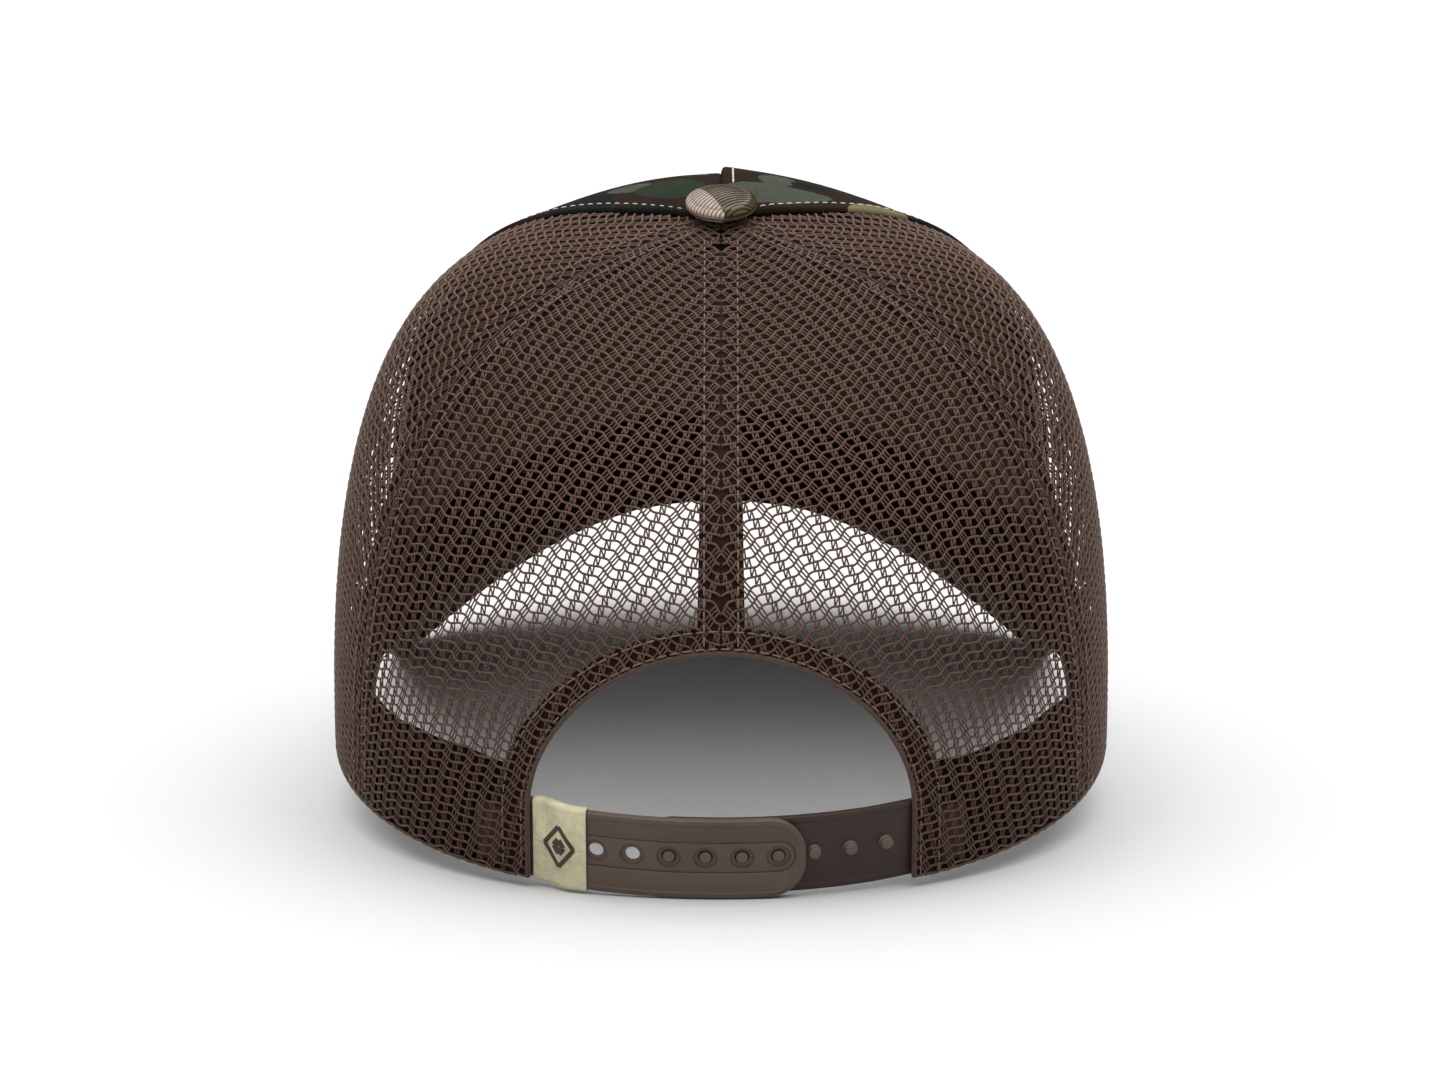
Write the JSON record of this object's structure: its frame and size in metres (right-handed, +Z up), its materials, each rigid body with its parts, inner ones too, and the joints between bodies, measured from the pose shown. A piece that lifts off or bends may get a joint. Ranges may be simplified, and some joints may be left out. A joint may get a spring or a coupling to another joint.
{
  "type": "trucker mesh cap",
  "caption": "Trucker cap with camo twill front and curved brim, knitted mesh rear panels, covered top button and a pegged plastic snapback strap.",
  "frame": {"origin": "centre of the bounding box in plan, on the surface that the cap stands on", "axes": "+Z up from the surface; -Y to the front, where the brim points; +Y to the rear strap; +X to the wearer's left"},
  "size_m": [0.1778, 0.2586, 0.1401],
  "materials": {
    "mesh_net": "knitted polyester net, dark brown",
    "camo_twill": "printed cotton twill, matt, brown green and khaki blobs",
    "buckram": "stiffened backing cloth, matt dark brown",
    "brown_tape": "woven tape, matt, dark brown",
    "padding_foam": "soft foam strip",
    "ribbed_cord": "ribbed cord cloth, olive with a pinkish beige blob",
    "button_metal": "pressed thin sheet, lacquered dark brown",
    "strap_plastic": "moulded soft plastic, satin, dark brown",
    "strap_pocket": "woven tape pocket, matt, dark brown",
    "label_cloth": null,
    "brim_board": "stiff moulded visor board",
    "charcoal_cloth": "plain woven cloth, matt charcoal"
  },
  "bodies": {
    "crown": {"rear_mesh_left": "mesh_net", "rear_mesh_right": "mesh_net", "side_mesh_left": "mesh_net", "side_mesh_right": "mesh_net", "front_panel_left": "camo_twill", "front_panel_right": "camo_twill", "brim_top_cloth": "camo_twill", "front_buckram_left": "buckram", "front_buckram_right": "buckram", "side_rear_seam_tape_left": "brown_tape", "side_rear_seam_tape_right": "brown_tape", "front_side_seam_tape_left": "brown_tape", "front_side_seam_tape_right": "brown_tape", "arch_binding": "brown_tape", "centre_rear_seam_tape": "brown_tape", "centre_front_seam_tape": "brown_tape", "sweatband": "brown_tape", "sweatband_padding": "padding_foam", "button_cover": "ribbed_cord", "button_shell": "button_metal", "button_rivet": "button_metal", "button_backing": "button_metal", "strap_anchor_left": "strap_pocket", "strap_anchor_right": "strap_pocket", "brim_board": "brim_board", "brim_under_cloth": "charcoal_cloth", "brim_edge_fold": "charcoal_cloth"},
    "female_strap": {"strap_female": "strap_plastic", "woven_label": "label_cloth"},
    "male_strap": {"strap_male": "strap_plastic"}
  },
  "joints": [
    {"name": "female_strap_swing", "type": "hinge", "parent": "crown", "child": "female_strap", "pos_m": [0.03891, 0.11738, 0.0113], "axis": [0, 0, -1], "range_deg": [0, 70]},
    {"name": "male_strap_swing", "type": "hinge", "parent": "crown", "child": "male_strap", "pos_m": [-0.03897, 0.11752, 0.01128], "axis": [0, 0, -1], "range_deg": [0, 40]}
  ]
}
